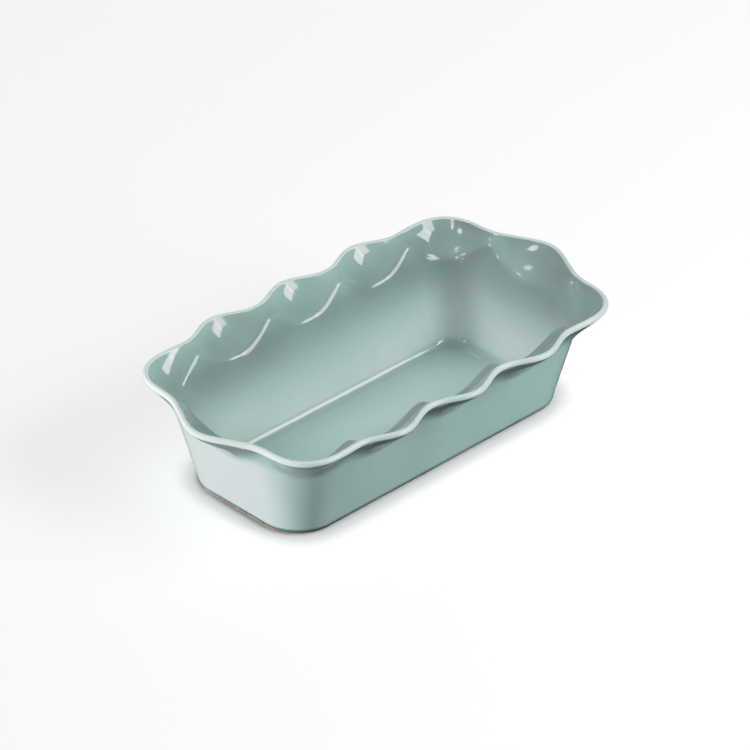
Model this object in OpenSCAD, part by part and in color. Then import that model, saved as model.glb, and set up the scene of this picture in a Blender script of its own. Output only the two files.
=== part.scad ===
// Ruffled stoneware loaf dish: a fired clay body, glazed all over except for its foot ring.
// The dish stands on z = 0, its length lies along X, and its middle is at the origin.

/* [Base] */
// Length of the base, where the walls start
base_length = 233; // [200:1:280]
// Width of the base
base_width = 102; // [90:1:140]
// Radius of the base's corners
base_corner_r = 26; // [24:0.5:36]
// Radius of the edge between the walls and the foot
heel_r = 3; // [2:0.5:5]

/* [Walls] */
// Thickness of the walls at the scallops' middles, measured level
wall_t = 4.9; // [4:0.1:6]
// Thickness of the walls at the floor, without the fillet
wall_t_floor = 11; // [8:0.5:12]
// Thickness of the floor
floor_t = 4; // [4:0.1:6]
// Lean of the walls from upright outside, in degrees
wall_lean = 15; // [8:0.5:18]
// Radius between the floor and the walls, inside
floor_fillet_r = 8; // [5:0.5:12]

/* [Ruffled rim] */
// Height of the middle of the lip
lip_height = 70.6; // [69:0.2:80]
// Radius of the rounded lip
lip_r = 2; // [1.8:0.1:2.6]
// Mean distance of the lip outside the base, along the sides
rim_reach = 29.2; // [27:0.2:33]
// The same at the two ends
end_reach = 27.4; // [26:0.2:33]
// How much closer in the lip is at the corners
corner_tuck = 2.6; // [0:0.2:4]
// Distance that the ruffle swings out and in from that mean, along the sides
ruffle_swing = 4.5; // [3:0.1:6]
// The same at the two ends
end_swing = 6.4; // [3:0.1:7]
// Length of one ruffle along the sides; those at the corners and ends share what is left
ruffle_pitch = 59.4; // [54:0.2:66]

/* [Scallops] */
// Height of the scallop's inner edge at its middle
scallop_low = 56.4; // [53:0.2:60]
// Height of the ridge between two scallops
scallop_high = 68.4; // [65:0.2:69]
// Roundness of the ridge between two scallops, as a share of half a ruffle
ridge_roundness = 0.15; // [0.08:0.01:0.3]
// Length of the rounding on the scallop's inner edge, each way from the edge
edge_round = 4; // [2:0.5:6]
// Height where the flare leaves the wall outside, below a scallop
flare_low = 46; // [42:0.5:50]
// Height where the flare leaves the wall outside, below a ridge
flare_high = 50; // [45:0.5:54]

/* [Foot and glaze] */
// Width of the flat foot ring from the base's outline inwards
foot_w = 9; // [7:0.5:14]
// Depth of the hollow inside the foot ring
foot_hollow = 1.4; // [1:0.1:2.5]
// Thickness of the glaze
glaze_t = 0.5; // [0.4:0.1:0.8]
// Height above the table where the outside glaze stops
glaze_line = 0.8; // [0.6:0.1:2]
// Distance that the underside glaze stops short of the hollow's side
hollow_margin = 1; // [0.5:0.5:3]

/* [Hidden] */

// Stations round a quarter of the dish, and rings along each stretch of the section
quarter_steps = 26;
fillet_steps = 4;
wall_steps = 3;
edge_steps = 3;
scoop_steps = 5;
lip_steps = 6;
flare_steps = 6;
heel_steps = 3;
circle_steps = 64;
stations = 4 * quarter_steps;

lean_tan = tan(wall_lean);

// Centre lines of the base's corners, and the quarter of the rim that they divide up
core_x = base_length / 2 - base_corner_r;
core_y = base_width / 2 - base_corner_r;
rim_corner_r = base_corner_r + rim_reach;
rim_corner_len = rim_corner_r * PI / 2;
quarter_len = core_x + rim_corner_len + core_y;
side_len = 1.5 * ruffle_pitch;
corner_pitch = (quarter_len - side_len) / 1.5;

// Slopes of the scallop where it meets the lip, at its middle and at a ridge, in degrees
lip_slope_scallop = 52;
lip_slope_ridge = 34;
// Place of the scallop curve's middle handle, as shares of its run and of its rise
scoop_handle_run = 0.62;
scoop_handle_rise = 0.2;
// Handles of the flare's curve outside, at the lip and at the wall
flare_handle_lip = 13;
flare_handle_wall = 8;

// Level distance out from the base's outline, at height z, of the wall's outer face and of a face
// wall_t inside it, which the scallops' edges are on
function outer_wall(z) = lean_tan * z;
function scallop_wall(z) = outer_wall(z) - wall_t;

// Where the inside wall would meet the floor without the fillet, and its lean, in degrees
wall_foot = outer_wall(floor_t) - wall_t_floor;
inside_lean = atan((scallop_wall(scallop_low) - wall_foot) / (scallop_low - floor_t));

function mix(a, b, share) = a + (b - a) * share;
function bezier2(a, b, c, u) = (1 - u) * (1 - u) * a + 2 * u * (1 - u) * b + u * u * c;
function bezier3(a, b, c, d, u) =
    pow(1 - u, 3) * a + 3 * u * pow(1 - u, 2) * b + 3 * u * u * (1 - u) * c + pow(u, 3) * d;

// Ruffles passed at length t along the quarter, from the middle of a side to the middle of an end,
// and the place in the ruffle there: 0 at a scallop's middle, 1 at a ridge
function ruffles_passed(t) =
    t < side_len ? t / ruffle_pitch : 1.5 + (t - side_len) / corner_pitch;
function ruffle_place(t) = 2 * abs(ruffles_passed(t) - round(ruffles_passed(t)));

// The way the rim faces at length t, from 0 degrees along the sides to 90 degrees at the ends,
// and the distance of the lip's middle outside the base there
function station_turn(t) = 90 * min(max((t - core_x) / rim_corner_len, 0), 1);
function lip_reach(t) =
    let (turn = station_turn(t))
    let (end_share = pow(sin(turn), 2))
    mix(rim_reach, end_reach, end_share)
    + mix(ruffle_swing, end_swing, end_share) * cos(180 * ruffle_place(t))
    - corner_tuck * pow(sin(2 * turn), 2);

// Share of the way up from a scallop's middle to the ridge: a hanging curve with a rounded peak
function swag(place) =
    pow((1 - sqrt(pow(1 - place, 2) + pow(ridge_roundness, 2))) / (1 - ridge_roundness), 2);

// The dish's glazed surface at length t, as points of [distance out from the base, height],
// from the edge of the floor up the inside, over the lip and down the outside to the foot.
// share is 0 at a scallop's middle and 1 at a ridge, and lip is the middle of the lip.
function floor_fillet() =
    let (wall_out = wall_foot + floor_fillet_r * tan(inside_lean))
    let (middle = [wall_out - floor_fillet_r / cos(inside_lean), floor_t + floor_fillet_r])
    [for (i = [0 : fillet_steps])
        let (turn = (90 - inside_lean) * i / fillet_steps)
        middle + floor_fillet_r * [sin(turn), -cos(turn)]];

function lip_slope(share) = mix(lip_slope_scallop, lip_slope_ridge, share);

function inside_rise(share, lip) =
    let (edge_z = mix(scallop_low, scallop_high, share))
    let (slope = lip_slope(share))
    let (edge = [scallop_wall(edge_z), edge_z])
    let (top = lip + lip_r * [-sin(slope), cos(slope)])
    let (handle = [mix(edge.x, top.x, scoop_handle_run), mix(edge.y, top.y, scoop_handle_rise)])
    let (foot_of_wall = floor_fillet()[fillet_steps])
    let (below = edge - edge_round * (edge - foot_of_wall) / norm(edge - foot_of_wall))
    let (scoop_start = edge_round / norm(handle - edge) / 2)
    let (beyond = bezier2(edge, handle, top, scoop_start))
    concat(
        [for (i = [1 : wall_steps]) mix(foot_of_wall, below, i / wall_steps)],
        [for (i = [1 : edge_steps]) bezier2(below, edge, beyond, i / edge_steps)],
        [for (i = [1 : scoop_steps]) bezier2(edge, handle, top, mix(scoop_start, 1, i / scoop_steps))]
    );

function over_lip(share, lip) =
    [for (i = [1 : lip_steps])
        let (turn = 90 + lip_slope(share) - 180 * i / lip_steps)
        lip + lip_r * [cos(turn), sin(turn)]];

function outside_fall(share, lip) =
    let (slope = lip_slope(share))
    let (under_lip = lip + lip_r * [sin(slope), -cos(slope)])
    let (flare_z = mix(flare_low, flare_high, share))
    let (leave = [outer_wall(flare_z), flare_z])
    let (lip_handle = under_lip - flare_handle_lip * [cos(slope), sin(slope)])
    let (wall_handle = leave + flare_handle_wall * [sin(wall_lean), cos(wall_lean)])
    let (heel_top = [outer_wall(heel_r), heel_r])
    concat(
        [for (i = [1 : flare_steps])
            bezier3(under_lip, lip_handle, wall_handle, leave, i / flare_steps)],
        [for (i = [1 : wall_steps]) mix(leave, heel_top, i / wall_steps)]
    );

function glazed_section(t) =
    let (share = swag(ruffle_place(t)))
    let (lip = [lip_reach(t), lip_height])
    concat(
        floor_fillet(), inside_rise(share, lip), over_lip(share, lip),
        outside_fall(share, lip), [glaze_end()]
    );

// The heel turns the wall under to the foot; the outside glaze stops part of the way round it
function heel_point(turn) =
    [outer_wall(heel_r) - heel_r * (1 - cos(turn)), heel_r * (1 - sin(turn))];
glaze_end_turn = asin(1 - glaze_line / heel_r);
function glaze_end() = heel_point(glaze_end_turn);
function bare_heel() =
    [for (i = [1 : heel_steps]) heel_point(mix(glaze_end_turn, 90, i / heel_steps))];

// Rings of the glazed section: its first, the one on top of the lip, and its last
crown_ring = fillet_steps + wall_steps + edge_steps + scoop_steps + lip_steps / 2;
last_ring = crown_ring + lip_steps / 2 + flare_steps + wall_steps + 1;

// The same section one glaze thickness further in, which is the surface of the clay
function clay_section(t) =
    let (skin = glazed_section(t))
    [for (i = [0 : last_ring])
        let (along = skin[min(i + 1, last_ring)] - skin[max(i - 1, 0)])
        let (inwards = i == 0 ? [0, -1] : [along.y, -along.x] / norm(along))
        skin[i] + glaze_t * inwards];

// One ring round the dish, from the section point that it goes through at each station
function station_t(k) =
    let (step = k % quarter_steps)
    let (back = floor(k / quarter_steps) % 2 == 1)
    quarter_len * (back ? quarter_steps - step : step) / quarter_steps;
function station_sign_x(k) = k < 2 * quarter_steps ? 1 : -1;
function station_sign_y(k) = k < quarter_steps || k >= 3 * quarter_steps ? 1 : -1;
function station_point(k, section_point) =
    let (t = station_t(k))
    let (turn = station_turn(t))
    let (reach = base_corner_r + section_point.x)
    let (x = min(t, core_x) + reach * sin(turn))
    let (y = core_y - max(t - core_x - rim_corner_len, 0) + reach * cos(turn))
    [station_sign_x(k) * x, station_sign_y(k) * y, section_point.y];

glazed_sections = [for (k = [0 : stations - 1]) glazed_section(station_t(k))];
clay_sections = [for (k = [0 : stations - 1]) clay_section(station_t(k))];

function rings(sections, order) =
    [for (i = order) [for (k = [0 : stations - 1]) station_point(k, sections[k][i])]];
function steps_up(from, to) = [for (i = [from : 1 : to]) i];
function steps_down(from, to) = [for (i = [from : -1 : to]) i];

// Joins rings into a closed solid: with a fan of triangles closing each end, or as a loop
module loft(rings, loop = false) {
    count = len(rings);
    bands = loop ? count : count - 1;
    first_middle = count * stations;
    last_middle = first_middle + 1;
    last_start = (count - 1) * stations;
    side_faces = [
        for (j = [0 : bands - 1], k = [0 : stations - 1])
            let (next = (k + 1) % stations)
            let (here = j * stations)
            let (there = (j + 1) % count * stations)
            each [[here + k, there + next, here + next], [here + k, there + k, there + next]]
    ];
    end_faces = loop ? [] : [
        for (k = [0 : stations - 1])
            let (next = (k + 1) % stations)
            each [[first_middle, k, next], [last_middle, last_start + next, last_start + k]]
    ];
    middles = loop ? [] : [[0, 0, rings[0][0].z], [0, 0, rings[count - 1][0].z]];
    polyhedron(
        points = concat([for (ring = rings) each ring], middles),
        faces = concat(side_faces, end_faces)
    );
}

// Rounded rectangle, level with the base's outline where inset is 0
module base_outline(inset) {
    r = base_corner_r - inset;
    square([2 * (core_x + r), 2 * core_y], center = true);
    square([2 * core_x, 2 * (core_y + r)], center = true);
    for (x = [-core_x, core_x], y = [-core_y, core_y])
        translate([x, y]) circle(r = r, $fn = circle_steps);
}

module clay_body() {
    color("#c9b8a2")
    difference() {
        loft(concat(
            rings(clay_sections, steps_up(0, last_ring)),
            [for (point = bare_heel()) [for (k = [0 : stations - 1]) station_point(k, point)]]
        ));
        translate([0, 0, -foot_hollow])
            linear_extrude(2 * foot_hollow)
                base_outline(foot_w);
    }
}

module inside_glaze() {
    color("#9dbab4")
    loft(concat(
        rings(glazed_sections, steps_up(0, crown_ring)),
        rings(clay_sections, steps_down(crown_ring, 0))
    ));
}

module outside_glaze() {
    color("#8fafaa")
    loft(concat(
        rings(glazed_sections, steps_up(crown_ring, last_ring)),
        rings(clay_sections, steps_down(last_ring, crown_ring))
    ), loop = true);
}

module underside_glaze() {
    color("#8fafaa")
    translate([0, 0, foot_hollow - glaze_t])
        linear_extrude(glaze_t)
            base_outline(foot_w + hollow_margin);
}

clay_body();
inside_glaze();
outside_glaze();
underside_glaze();
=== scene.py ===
import math

import bpy
import numpy as np
from mathutils import Euler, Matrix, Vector


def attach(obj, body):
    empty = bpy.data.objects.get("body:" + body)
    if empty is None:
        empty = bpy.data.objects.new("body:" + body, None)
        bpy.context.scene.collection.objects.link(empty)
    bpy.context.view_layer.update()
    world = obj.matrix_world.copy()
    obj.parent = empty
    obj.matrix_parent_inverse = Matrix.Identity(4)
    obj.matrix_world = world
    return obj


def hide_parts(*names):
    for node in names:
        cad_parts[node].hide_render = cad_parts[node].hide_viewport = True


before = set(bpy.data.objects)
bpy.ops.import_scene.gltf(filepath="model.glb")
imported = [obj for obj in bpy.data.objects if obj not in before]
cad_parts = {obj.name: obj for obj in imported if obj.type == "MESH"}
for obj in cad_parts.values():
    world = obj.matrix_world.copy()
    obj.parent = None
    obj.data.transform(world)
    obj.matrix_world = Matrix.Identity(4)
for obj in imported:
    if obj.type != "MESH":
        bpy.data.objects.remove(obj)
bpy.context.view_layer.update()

# ---------------------------------------------------------------- the dish's dimensions, in mm
MM = 0.001
BASE_LENGTH, BASE_WIDTH, BASE_CORNER_R = 233, 102, 26
HEEL_R, WALL_T, WALL_T_FLOOR, FLOOR_T = 3, 4.9, 11, 4
WALL_LEAN = math.radians(15)
FLOOR_FILLET_R = 8
LIP_HEIGHT, LIP_R = 70.6, 2
RIM_REACH, END_REACH, CORNER_TUCK = 29.2, 27.4, 2.6
RUFFLE_SWING, END_SWING, RUFFLE_PITCH = 4.5, 6.4, 59.4
SCALLOP_LOW, SCALLOP_HIGH, RIDGE_ROUNDNESS, EDGE_ROUND = 56.4, 68.4, 0.15, 4
FLARE_LOW, FLARE_HIGH = 46, 50
LIP_SLOPE_SCALLOP, LIP_SLOPE_RIDGE = math.radians(52), math.radians(34)
SCOOP_HANDLE_RUN, SCOOP_HANDLE_RISE = 0.62, 0.2
FLARE_HANDLE_LIP, FLARE_HANDLE_WALL = 13, 8
FOOT_W, FOOT_HOLLOW = 9, 1.4
GLAZE_T, GLAZE_LINE, HOLLOW_MARGIN = 0.5, 0.8, 1

CORE_X = BASE_LENGTH / 2 - BASE_CORNER_R
CORE_Y = BASE_WIDTH / 2 - BASE_CORNER_R
CORNER_LEN = (BASE_CORNER_R + RIM_REACH) * math.pi / 2
QUARTER_LEN = CORE_X + CORNER_LEN + CORE_Y
SIDE_LEN = 1.5 * RUFFLE_PITCH
CORNER_PITCH = (QUARTER_LEN - SIDE_LEN) / 1.5
LEAN = np.array([math.sin(WALL_LEAN), math.cos(WALL_LEAN)])

BARE_SET_IN, FOOT_EDGE_R = 0.35, 0.5

# The slow waves in the glaze, in metres: how high they are, and how long
RIPPLE_HEIGHT, RIPPLE_SEED = 0.00004, 7
RIPPLE_LENGTHS = np.linspace(0.03, 0.08, 9)

# The glaze_depth of a flat face and of the underside; hollows have more and bulges less, so it
# places the darker pooled tone with its painted shade and the paler thin tone with its painted
# highlight
FLAT_DEPTH, UNDERSIDE_DEPTH = 0.5, 0.55
DEPTH_SMOOTHINGS = 4

# Steps of the fine mesh: round a quarter of the dish, and along each stretch of the section
QUARTER_STEPS = 120
FILLET_STEPS, WALL_STEPS, EDGE_STEPS, SCOOP_STEPS = 14, 10, 10, 26
LIP_STEPS, FLARE_STEPS, DROP_STEPS, HEEL_STEPS = 20, 24, 10, 8
DISC_STEPS, ROLL_STEPS = 8, 6


# ---------------------------------------------------------------- the section of the wall
def mix(a, b, share):
    return a + (b - a) * share


def steps(count):
    """Shares of the way along a stretch, without its start."""
    return np.arange(1, count + 1) / count


def bezier2(a, b, c, u):
    return (1 - u) ** 2 * a + 2 * u * (1 - u) * b + u**2 * c


def bezier3(a, b, c, d, u):
    return (1 - u) ** 3 * a + 3 * u * (1 - u) ** 2 * b + 3 * u**2 * (1 - u) * c + u**3 * d


def outer_wall(z):
    return math.tan(WALL_LEAN) * z


def scallop_wall(z):
    return outer_wall(z) - WALL_T


def ruffle_place(t):
    """0 at a scallop's middle and 1 at the ridge between two scallops."""
    passed = np.where(t < SIDE_LEN, t / RUFFLE_PITCH, 1.5 + (t - SIDE_LEN) / CORNER_PITCH)
    return 2 * np.abs(passed - np.round(passed))


def swag(place):
    """Share of the way up from a scallop's middle to the ridge."""
    drop = 1 - np.sqrt((1 - place) ** 2 + RIDGE_ROUNDNESS**2)
    return (drop / (1 - RIDGE_ROUNDNESS)) ** 2


def facing(t):
    """The way that the rim faces: 0 along the sides, a quarter turn at the ends."""
    return math.pi / 2 * np.clip((t - CORE_X) / CORNER_LEN, 0, 1)


def lip_reach(t):
    turn = facing(t)
    end_share = np.sin(turn) ** 2
    swing = mix(RUFFLE_SWING, END_SWING, end_share) * np.cos(np.pi * ruffle_place(t))
    return mix(RIM_REACH, END_REACH, end_share) + swing - CORNER_TUCK * np.sin(2 * turn) ** 2


def pair(x, z):
    """Section points from their distance out and their height, either of which may vary."""
    return np.stack(np.broadcast_arrays(np.asarray(x, float), np.asarray(z, float)), -1)


def heel(turn):
    return pair(outer_wall(HEEL_R) - HEEL_R * (1 - np.cos(turn)), HEEL_R * (1 - np.sin(turn)))


WALL_FOOT = outer_wall(FLOOR_T) - WALL_T_FLOOR
INSIDE_LEAN = math.atan((scallop_wall(SCALLOP_LOW) - WALL_FOOT) / (SCALLOP_LOW - FLOOR_T))
FLOOR_EDGE = WALL_FOOT + FLOOR_FILLET_R * (math.tan(INSIDE_LEAN) - 1 / math.cos(INSIDE_LEAN))
GLAZE_END_TURN = math.asin(1 - GLAZE_LINE / HEEL_R)


def glazed_sections(t):
    """The glazed surface at each length t: points of distance out and height, from the floor's
    edge up the inside, over the lip and down the outside. Shape (lengths, points, 2)."""
    share = swag(ruffle_place(t))[:, None]
    lip = pair(lip_reach(t), LIP_HEIGHT)[:, None, :]
    slope = mix(LIP_SLOPE_SCALLOP, LIP_SLOPE_RIDGE, share)

    turn = (math.pi / 2 - INSIDE_LEAN) * np.arange(FILLET_STEPS + 1) / FILLET_STEPS
    fillet = pair(
        FLOOR_EDGE + FLOOR_FILLET_R * np.sin(turn),
        FLOOR_T + FLOOR_FILLET_R * (1 - np.cos(turn)),
    )
    fillet = np.broadcast_to(fillet, (len(t),) + fillet.shape)

    edge_z = mix(SCALLOP_LOW, SCALLOP_HIGH, share)
    edge = pair(scallop_wall(edge_z), edge_z)
    wall_way = edge - fillet[:, -1:]
    below = edge - EDGE_ROUND * wall_way / np.linalg.norm(wall_way, axis=-1, keepdims=True)
    top = lip + LIP_R * pair(-np.sin(slope), np.cos(slope))
    handle = pair(
        mix(edge[..., 0], top[..., 0], SCOOP_HANDLE_RUN),
        mix(edge[..., 1], top[..., 1], SCOOP_HANDLE_RISE),
    )
    start = EDGE_ROUND / np.linalg.norm(handle - edge, axis=-1, keepdims=True) / 2
    beyond = bezier2(edge, handle, top, start)
    u = steps(WALL_STEPS)[None, :, None]
    wall = mix(fillet[:, -1:], below, u)
    u = steps(EDGE_STEPS)[None, :, None]
    rounding = bezier2(below, edge, beyond, u)
    u = mix(start, 1, steps(SCOOP_STEPS)[None, :, None])
    scoop = bezier2(edge, handle, top, u)

    turn = np.pi / 2 + slope - np.pi * steps(LIP_STEPS)
    bead = lip + LIP_R * pair(np.cos(turn), np.sin(turn))

    under_lip = lip + LIP_R * pair(np.sin(slope), -np.cos(slope))
    leave_z = mix(FLARE_LOW, FLARE_HIGH, share)
    leave = pair(outer_wall(leave_z), leave_z)
    lip_handle = under_lip - FLARE_HANDLE_LIP * pair(np.cos(slope), np.sin(slope))
    u = steps(FLARE_STEPS)[None, :, None]
    flare = bezier3(under_lip, lip_handle, leave + FLARE_HANDLE_WALL * LEAN, leave, u)
    u = steps(DROP_STEPS)[None, :, None]
    drop = mix(leave, heel(np.zeros((1, 1))), u)
    end = heel(GLAZE_END_TURN * steps(HEEL_STEPS // 2))
    end = np.broadcast_to(end, (len(t),) + end.shape)
    return np.concatenate([fillet, wall, rounding, scoop, bead, flare, drop, end], axis=1)


CROWN = FILLET_STEPS + WALL_STEPS + EDGE_STEPS + SCOOP_STEPS + LIP_STEPS // 2


# ---------------------------------------------------------------- rings round the dish
steps_round = np.arange(4 * QUARTER_STEPS)
quarter, step = np.divmod(steps_round, QUARTER_STEPS)
STATION_T = QUARTER_LEN * np.where(quarter % 2 == 1, QUARTER_STEPS - step, step) / QUARTER_STEPS
SIGN_X = np.where(quarter < 2, 1, -1)
SIGN_Y = np.where((quarter == 0) | (quarter == 3), 1, -1)


def place(sections):
    """Section points (stations, points, 2) as points in the room, in metres."""
    turn = facing(STATION_T)[:, None]
    reach = BASE_CORNER_R + sections[..., 0]
    x = np.minimum(STATION_T, CORE_X)[:, None] + reach * np.sin(turn)
    y = CORE_Y - np.maximum(STATION_T - CORE_X - CORNER_LEN, 0)[:, None] + reach * np.cos(turn)
    return MM * np.stack([SIGN_X[:, None] * x, SIGN_Y[:, None] * y, sections[..., 1]], -1)


def outwards(points):
    """Unit normals, out of the clay, of a grid of points (stations, rings, 3)."""
    round_way = np.roll(points, -1, axis=0) - np.roll(points, 1, axis=0)
    along = np.gradient(points, axis=1)
    normal = np.cross(round_way, along)
    return normal / np.linalg.norm(normal, axis=-1, keepdims=True)


def round_ring(section):
    """Places section points that are the same at every station."""
    return place(np.broadcast_to(section, (len(STATION_T),) + section.shape))


def level_disc(reach, z):
    """Rings from near the middle out to a level rounded rectangle, without its own outline."""
    outline = round_ring(pair([reach], [z]))
    shares = (np.arange(DISC_STEPS) + 0.5) / DISC_STEPS
    rings = np.repeat(outline, DISC_STEPS, axis=1)
    rings[..., :2] *= shares[None, :, None]
    return rings


def ripple(points):
    """The slight unevenness of a glaze that has flowed: a sum of slow waves, in metres."""
    rng = np.random.default_rng(RIPPLE_SEED)
    height = np.zeros(points.shape[:2])
    for length in RIPPLE_LENGTHS:
        way = rng.normal(size=3)
        way *= 2 * math.pi / length / np.linalg.norm(way)
        height += np.sin(points @ way + rng.uniform(0, 2 * math.pi)) * length
    return RIPPLE_HEIGHT * height / np.abs(height).max()


def hollowness(points, normal):
    """How hollow (above 0) or how bulging (below 0) the surface is, as 1 / radius in mm."""
    bend = np.zeros(points.shape[:2])
    round_next, round_last = np.roll(points, -1, axis=0), np.roll(points, 1, axis=0)
    step_sq = np.sum((round_next - round_last) ** 2, -1) / 4
    bend += np.sum((round_next + round_last - 2 * points) * normal, -1) / step_sq
    middle = points[:, 1:-1]
    step_sq = np.sum((points[:, 2:] - points[:, :-2]) ** 2, -1) / 4
    along = np.sum((points[:, 2:] + points[:, :-2] - 2 * middle) * normal[:, 1:-1], -1) / step_sq
    bend[:, 1:-1] += along
    for _ in range(DEPTH_SMOOTHINGS):
        bend = (np.roll(bend, 1, axis=0) + bend + np.roll(bend, -1, axis=0)) / 3
        bend[:, 1:-1] = (bend[:, :-2] + bend[:, 1:-1] + bend[:, 2:]) / 3
    return MM * bend


def closed_piece(name, grid, normals, depth, loop=False):
    """A closed mesh from a grid of rings (stations, rings, 3), which ends in two fans or runs
    round as a loop. It keeps the surface's own normals, so that pieces meet without a seam."""
    stations, rings = grid.shape[:2]
    points = grid.transpose(1, 0, 2).reshape(-1, 3)
    point_normals = normals.transpose(1, 0, 2).reshape(-1, 3)
    depths = depth.T.reshape(-1)
    here = np.arange(stations)
    onward = (here + 1) % stations
    bands = rings if loop else rings - 1
    faces = []
    for ring in range(bands):
        low, high = ring * stations, (ring + 1) % rings * stations
        faces += np.stack([low + here, low + onward, high + onward, high + here], -1).tolist()
    if not loop:
        last = (rings - 1) * stations
        middle = len(points)
        points = np.vstack([points, points[:stations].mean(0), points[last:].mean(0)])
        point_normals = np.vstack([point_normals, (0, 0, 1), (0, 0, -1)])
        depths = np.append(depths, [depths[0], depths[-1]])
        faces += [[middle, b, a] for a, b in zip(here.tolist(), onward.tolist())]
        faces += [[middle + 1, last + a, last + b] for a, b in zip(here.tolist(), onward.tolist())]
    mesh = bpy.data.meshes.new(name)
    mesh.from_pydata(points.tolist(), [], faces)
    mesh.shade_smooth()
    mesh.normals_split_custom_set_from_vertices(point_normals.tolist())
    attribute = mesh.attributes.new("glaze_depth", "FLOAT", "POINT")
    attribute.data.foreach_set("value", depths.astype(np.float32))
    piece = bpy.data.objects.new(name, mesh)
    bpy.context.scene.collection.objects.link(piece)
    return piece


# ---------------------------------------------------------------- the coats of glaze
UP, DOWN = np.array([0, 0, 1.0]), np.array([0, 0, -1.0])
wall_skin = place(glazed_sections(STATION_T))
skin = np.concatenate([level_disc(FLOOR_EDGE, FLOOR_T), wall_skin], axis=1)
crown = DISC_STEPS + CROWN
out = outwards(skin)
out[:, : DISC_STEPS + 1] = UP
skin = skin + out * ripple(skin)[..., None]
out = outwards(skin)
out[:, :DISC_STEPS] = UP
depth = np.clip(FLAT_DEPTH + hollowness(skin, out), 0, 1)
under = skin - GLAZE_T * MM * out


def shell(first, last, end=None):
    """A coat's outer face from ring first up to ring last, and its inner face back again."""
    outer = [grid[:, first:last] for grid in (skin, out, depth)]
    inner = [grid[:, first:last][:, ::-1] for grid in (under, -out, depth)]
    parts = [outer, inner]
    if end:
        parts.insert(1, end)
    return [np.concatenate(columns, axis=1) for columns in zip(*parts)]


# The outside coat ends in a small roll, just above the foot
roll = np.pi * np.arange(1, ROLL_STEPS)[None, :, None] / ROLL_STEPS
half = (skin[:, -1:] - under[:, -1:]) / 2
ahead = skin[:, -1:] - skin[:, -2:-1]
ahead /= np.linalg.norm(ahead, axis=-1, keepdims=True)
ahead *= np.linalg.norm(half, axis=-1, keepdims=True)
bulge = np.cos(roll) * half + np.sin(roll) * ahead
roll_end = (
    under[:, -1:] + half + bulge,
    bulge / np.linalg.norm(bulge, axis=-1, keepdims=True),
    np.broadcast_to(depth[:, -1:], bulge.shape[:2]),
)

glaze_inside = closed_piece("glaze_inside", *shell(0, crown + 1))
glaze_outside = closed_piece("glaze_outside", *shell(crown, skin.shape[1], roll_end), loop=True)


def turned_edge(reach, middle_z, r, first, last):
    """A rounded edge in section, from angle first to angle last, measured from straight out."""
    turn = np.linspace(first, last, ROLL_STEPS + 1)
    return pair(reach + r * np.cos(turn), middle_z + r * np.sin(turn))


def level_normals(rings, way):
    return np.broadcast_to(way, (len(STATION_T), rings, 3))


half_coat = GLAZE_T / 2
coat_reach = -FOOT_W - HOLLOW_MARGIN - half_coat
edge = round_ring(
    turned_edge(coat_reach, FOOT_HOLLOW - half_coat, half_coat, math.pi / 2, -math.pi / 2)
)
coat = np.concatenate(
    [
        level_disc(coat_reach, FOOT_HOLLOW),
        edge,
        level_disc(coat_reach, FOOT_HOLLOW - GLAZE_T)[:, ::-1],
    ],
    axis=1,
)
edge_out = outwards(edge)
coat_normals = np.concatenate(
    [level_normals(DISC_STEPS, UP), edge_out, level_normals(DISC_STEPS, DOWN)], axis=1
)
coat_depth = np.full(coat.shape[:2], UNDERSIDE_DEPTH)
glaze_underside = closed_piece("glaze_underside", coat, coat_normals, coat_depth)

# ---------------------------------------------------------------- the clay, bare at its foot
turn = mix(GLAZE_END_TURN, math.pi / 2, np.arange(HEEL_STEPS + 1) / HEEL_STEPS)
bare_heel = heel(turn) - pair(BARE_SET_IN * np.cos(turn), 0)
ring_edge = turned_edge(-FOOT_W + FOOT_EDGE_R, FOOT_EDGE_R, FOOT_EDGE_R, -math.pi / 2, -math.pi)
hollow_side = pair([-FOOT_W, -FOOT_W - FOOT_EDGE_R], [FOOT_HOLLOW - FOOT_EDGE_R, FOOT_HOLLOW])
foot = round_ring(np.concatenate([bare_heel, ring_edge, hollow_side]))
ceiling = level_disc(-FOOT_W - 2 * FOOT_EDGE_R, FOOT_HOLLOW)[:, ::-1]
clay_grid = np.concatenate([under, foot, ceiling], axis=1)
clay_normals = np.concatenate([out, outwards(foot), level_normals(DISC_STEPS, DOWN)], axis=1)
clay = closed_piece("clay", clay_grid, clay_normals, np.zeros(clay_grid.shape[:2]))

# ---------------------------------------------------------------- materials


def linear(red, green, blue):
    """A colour given in 0 to 255 steps, as the shader wants it."""
    return tuple((v / 255) ** 2.2 for v in (red, green, blue)) + (1,)


# Tones that lie over the glaze: its clouds, where it pools (darker in hollows and corners, partly
# painted shade) and where it runs thin (paler on edges and the lip, partly a painted highlight),
# each with the most of it that shows; and the glaze_depth at which a tone starts and is at its
# strongest
CLOUD, CLOUD_SHARE = linear(146, 172, 166), 0.25
# Darker in hollows: partly pooled glaze, partly painted shade in corners and fillets
POOLED_SHADE, POOLED_SHADE_SHARE, POOLED_SHADE_FROM, POOLED_SHADE_AT = linear(118, 148, 141), 0.35, 0.56, 0.7
# Paler on edges: partly thin glaze, partly a painted highlight on the lip and scallop edges
THIN_HIGHLIGHT, THIN_HIGHLIGHT_SHARE, THIN_HIGHLIGHT_FROM, THIN_HIGHLIGHT_AT = linear(190, 208, 203), 0.5, 0.3, 0.05
GLAZE_IOR, GLAZE_ROUGH_LOW, GLAZE_ROUGH_HIGH = 1.6, 0.07, 0.13

# The glaze's tone, each after its height in metres, with more painted light and shade in it than
# the glaze itself would show: lighter low inside, darker up in the scallops, a painted shadow under
# the lip and a painted contact shadow just above the foot
# Inside: painted light low down and painted shade up in the scallops
INSIDE_SHADED_TONES = (
    (0.004, linear(154, 173, 171)),
    (0.010, linear(180, 194, 192)),
    (0.059, linear(116, 134, 132)),
)
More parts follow.
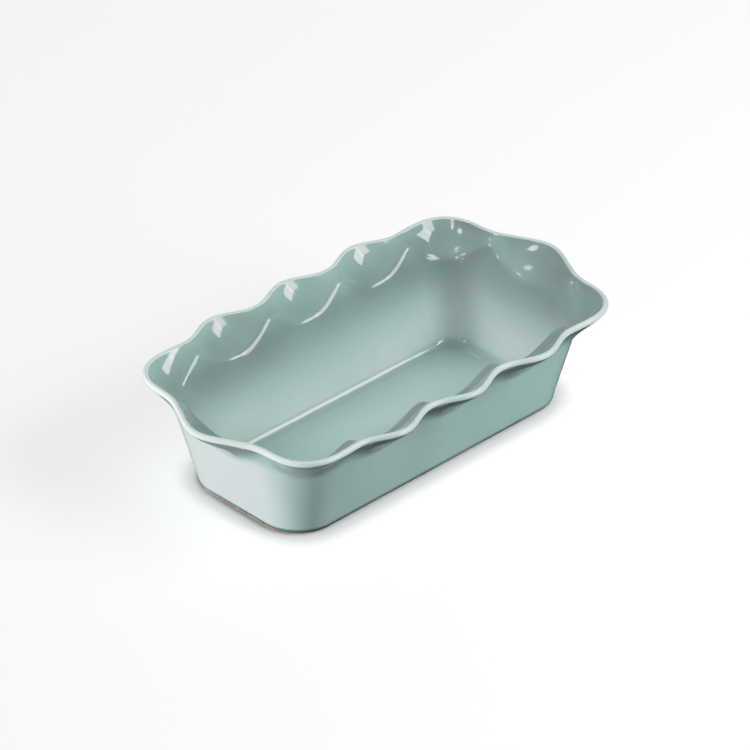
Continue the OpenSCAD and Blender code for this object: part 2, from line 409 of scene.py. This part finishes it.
# Outside: a painted contact shadow just above the foot and a painted shadow under the lip
OUTSIDE_SHADED_TONES = (
    (0.002, linear(56, 74, 72)),
    (0.005, linear(131, 152, 150)),
    (0.049, linear(131, 152, 150)),
    (0.059, linear(97, 117, 114)),
)
CLAY_WARM, CLAY_PALE, CLAY_SPECK = linear(180, 162, 138), linear(200, 184, 163), linear(112, 92, 74)


class Graph:
    """Adds nodes to one material by type, with their inputs set by name or linked."""

    def __init__(self, name):
        self.material = bpy.data.materials.new(name)
        self.material.use_nodes = True
        self.tree = self.material.node_tree
        self.shader = self.tree.nodes["Principled BSDF"]
        self.place = self.add("ShaderNodeTexCoord").outputs["Object"]

    def add(self, kind, settings=None, **inputs):
        node = self.tree.nodes.new(kind)
        for key, value in (settings or {}).items():
            setattr(node, key, value)
        for key, value in inputs.items():
            self.set(node, key.replace("_", " "), value)
        return node

    def set(self, node, key, value):
        socket = node.inputs[int(key)] if key.isdigit() else node.inputs[key]
        if isinstance(value, bpy.types.NodeSocket):
            self.tree.links.new(value, socket)
        else:
            socket.default_value = value

    def noise(self, scale, detail=2, roughness=0.5):
        node = self.add("ShaderNodeTexNoise", Vector=self.place, Scale=scale, Detail=detail)
        node.inputs["Roughness"].default_value = roughness
        return node.outputs["Fac"]

    def between(self, value, low, high, to_low=0, to_high=1):
        node = self.add("ShaderNodeMapRange", {"interpolation_type": "SMOOTHSTEP"}, Value=value)
        for index, number in enumerate((low, high, to_low, to_high), 1):
            node.inputs[index].default_value = number
        return node.outputs["Result"]

    def blend(self, share, first, second, how="MIX"):
        node = self.add("ShaderNodeMix", {"data_type": "RGBA", "blend_type": how})
        for index, value in ((0, share), (6, first), (7, second)):
            self.set(node, str(index), value)
        return node.outputs[2]

    def bump(self, height, distance, below=None):
        node = self.add("ShaderNodeBump", Height=height, Distance=distance)
        if below is not None:
            self.set(node, "Normal", below)
        return node.outputs["Normal"]


def glaze_material(name, tones):
    """Glaze whose tone changes with height, with painted light and shade in that tone. It is darker
    where it pools in hollows, partly painted shade, and pale where it runs thin over edges, partly
    a painted highlight; and it has slow waves, clouds and a fine grain."""
    g = Graph(name)
    depth_shade_and_highlight = g.add("ShaderNodeAttribute", {"attribute_name": "glaze_depth"}).outputs["Fac"]
    height = g.add("ShaderNodeSeparateXYZ", Vector=g.place).outputs["Z"]
    # The tone by height: painted light low inside, painted shade in the scallops, under the lip and
    # just above the foot
    low, colour = tones[0]
    for high, tone in tones[1:]:
        colour = g.blend(g.between(height, low, high), colour, tone)
        low = high
    colour = g.blend(g.between(g.noise(14, 3), 0.35, 0.65, 0, CLOUD_SHARE), colour, CLOUD)
    # Darker in hollows and corners: pooled glaze and partly painted shade
    colour = g.blend(g.between(depth_shade_and_highlight, POOLED_SHADE_FROM, POOLED_SHADE_AT, 0, POOLED_SHADE_SHARE), colour, POOLED_SHADE)
    # Paler on edges and the lip: thin glaze and partly a painted highlight
    colour = g.blend(g.between(depth_shade_and_highlight, THIN_HIGHLIGHT_FROM, THIN_HIGHLIGHT_AT, 0, THIN_HIGHLIGHT_SHARE), colour, THIN_HIGHLIGHT)
    grain = g.between(g.noise(1400, 2), 0.3, 0.7, 0.985, 1.015)
    grain_colour = g.add("ShaderNodeCombineColor", Red=grain, Green=grain, Blue=grain)
    colour = g.blend(1.0, colour, grain_colour.outputs[0], "MULTIPLY")
    g.set(g.shader, "Base Color", colour)
    rough = g.between(g.noise(45, 3), 0.3, 0.7, GLAZE_ROUGH_LOW, GLAZE_ROUGH_HIGH)
    g.set(g.shader, "Roughness", rough)
    g.set(g.shader, "IOR", GLAZE_IOR)
    slow = g.bump(g.noise(90, 1), 0.00003)
    g.set(g.shader, "Normal", g.bump(g.noise(700, 2), 0.000002, slow))
    return g.material


def clay_material(name):
    """Bare fired clay: dull, sandy and specked."""
    g = Graph(name)
    colour = g.blend(g.between(g.noise(60, 4), 0.35, 0.65), CLAY_WARM, CLAY_PALE)
    speck = g.between(g.noise(2600, 1), 0.66, 0.74)
    colour = g.blend(speck, colour, CLAY_SPECK)
    g.set(g.shader, "Base Color", colour)
    g.set(g.shader, "Roughness", g.between(g.noise(300, 2), 0.3, 0.7, 0.72, 0.9))
    g.set(g.shader, "Normal", g.bump(g.noise(1800, 4, 0.7), 0.00008))
    return g.material


inside = glaze_material("sea_green_inside", INSIDE_SHADED_TONES)
outside = glaze_material("sea_green_outside", OUTSIDE_SHADED_TONES)
underneath = glaze_material("sea_green_underneath", OUTSIDE_SHADED_TONES[1:3])
bare = clay_material("bare_clay")
for piece, node, material, slot in (
    (clay, "clay_body", bare, "bare_clay"),
    (glaze_inside, "inside_glaze", inside, "sea_green_glaze"),
    (glaze_outside, "outside_glaze", outside, "sea_green_glaze"),
    (glaze_underside, "underside_glaze", underneath, "sea_green_glaze"),
):
    piece.data.materials.append(material)
    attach(piece, "root")
    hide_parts(node)
    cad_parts[node].data.materials.clear()
    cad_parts[node].data.materials.append(material)

# ---------------------------------------------------------------- floor, lights and camera
AZIMUTH, ELEVATION = math.radians(-44.28), math.radians(33)
DISTANCE, LENS, SENSOR, SEES_AS_FAR_AS = 3.45, 271.8, 36, 50
MIDDLE, AIM_OFF = (0, 0, 0.033), (-0.0012, 0.0011, 0.011)
back = Vector(
    (
        math.sin(AZIMUTH) * math.cos(ELEVATION),
        -math.cos(AZIMUTH) * math.cos(ELEVATION),
        math.sin(ELEVATION),
    )
)
centre = Vector(MIDDLE)
look_at = centre + Vector(AIM_OFF)
camera = bpy.data.objects.new("camera", bpy.data.cameras.new("camera"))
bpy.context.scene.collection.objects.link(camera)
camera.location = centre + DISTANCE * back
camera.rotation_euler = (look_at - camera.location).to_track_quat("-Z", "Y").to_euler()
camera.data.lens = LENS
camera.data.sensor_width = SENSOR
camera.data.clip_end = SEES_AS_FAR_AS
bpy.context.scene.camera = camera

# The floor glows a little, and less where the dish is close, which is a painted contact shadow; it
# sends no light back to the dish
FLOOR_HALF, FLOOR_SHADE, FLOOR_GLOW, FLOOR_CLOSE = 6, 0.9, 0.9, 0.02
floor_mesh = bpy.data.meshes.new("floor")
corners = [(x * FLOOR_HALF, y * FLOOR_HALF, 0) for x, y in ((-1, -1), (1, -1), (1, 1), (-1, 1))]
floor_mesh.from_pydata(corners, [], [(0, 1, 2, 3)])
floor = bpy.data.objects.new("floor", floor_mesh)
bpy.context.scene.collection.objects.link(floor)
g = Graph("floor")
g.set(g.shader, "Base Color", (FLOOR_SHADE, FLOOR_SHADE, FLOOR_SHADE, 1))
g.set(g.shader, "Roughness", 0.7)
g.set(g.shader, "Specular IOR Level", 0.2)
g.set(g.shader, "Emission Color", (1, 1, 1, 1))
# Painted contact shadow: the glow fades where the dish is close
opened = g.add("ShaderNodeAmbientOcclusion", Distance=FLOOR_CLOSE).outputs["AO"]
g.set(g.shader, "Emission Strength", g.between(opened, 0.3, 0.97, 0, FLOOR_GLOW))
floor_mesh.materials.append(g.material)
floor.visible_diffuse = floor.visible_glossy = False


def soft_light(name, azimuth, elevation, width, height, brightness):
    """A rectangular light that faces the dish. Azimuth is in degrees from +Y towards +X."""
    way = Vector((0, 1, 0))
    way.rotate(Euler((math.radians(elevation), 0, -math.radians(azimuth))))
    data = bpy.data.lights.new(name, "AREA")
    data.shape = "RECTANGLE"
    data.size, data.size_y = width, height
    data.energy = math.pi * width * height * brightness
    lamp = bpy.data.objects.new(name, data)
    bpy.context.scene.collection.objects.link(lamp)
    lamp.location = centre + LIGHT_DISTANCE * way
    lamp.rotation_euler = (-way).to_track_quat("-Z", "Y").to_euler()
    return lamp


def fill_light(name, azimuth, elevation, width, height, brightness, colour=(1, 1, 1)):
    """A light on the dish alone that isn't seen reflected, as behind a polarising filter."""
    lamp = soft_light(name, azimuth, elevation, width, height, brightness)
    lamp.visible_glossy = False
    lamp.data.color = colour
    lamp.light_linking.receiver_collection = dish
    lamp.light_linking.blocker_collection = dish


def shine_light(*arguments):
    """A light that is only seen reflected in the glaze."""
    soft_light(*arguments).visible_diffuse = False


LIGHT_DISTANCE, WARM, AMBIENT = 1.6, (1, 0.88, 0.9), 0.05
dish = bpy.data.collections.new("dish")
for piece in (clay, glaze_inside, glaze_outside, glaze_underside):
    dish.objects.link(piece)

# Name, azimuth and elevation in degrees, width and height in metres, brightness
soft_light("right_front", 161, 25, 0.62, 1.1, 5.2)
soft_light("right_upper", 137, 38, 0.72, 0.5, 6.5)
fill_light("left_low", -64, -9, 0.35, 0.16, 370, WARM)
fill_light("left_middle", -55, 32, 0.7, 0.45, 19, WARM)
fill_light("front_low", 152, 4, 0.9, 0.16, 46)
fill_light("front_middle", -130, 34, 0.4, 0.4, 17)
fill_light("back_high", 15, 58, 1.1, 0.8, 4)
shine_light("left_strip", -113, 41, 0.18, 0.35, 9)
shine_light("left_glint", -111, 16, 0.18, 0.12, 9)
shine_light("left_spot", -82, 42, 0.3, 0.28, 9)
shine_light("back_spot", -12, 65, 0.3, 0.25, 4)

world = bpy.data.worlds.new("studio")
world.use_nodes = True
sky = world.node_tree.nodes["Background"]
sky.inputs["Color"].default_value = (1, 1, 1, 1)
sky.inputs["Strength"].default_value = AMBIENT
bpy.context.scene.world = world

# The tone curve, as pairs of light in and light out, with a soft shoulder as a camera gives
SHOULDER, WHITE = ((0.3, 0.3), (0.5, 0.54), (0.65, 0.66), (0.85, 0.75), (1.1, 0.9)), 1.3
view = bpy.context.scene.view_settings
view.view_transform = "Standard"
view.use_curve_mapping = True
view.curve_mapping.white_level = (WHITE, WHITE, WHITE)
for light_in, light_out in SHOULDER:
    view.curve_mapping.curves[3].points.new(light_in / WHITE, light_out)
view.curve_mapping.update()
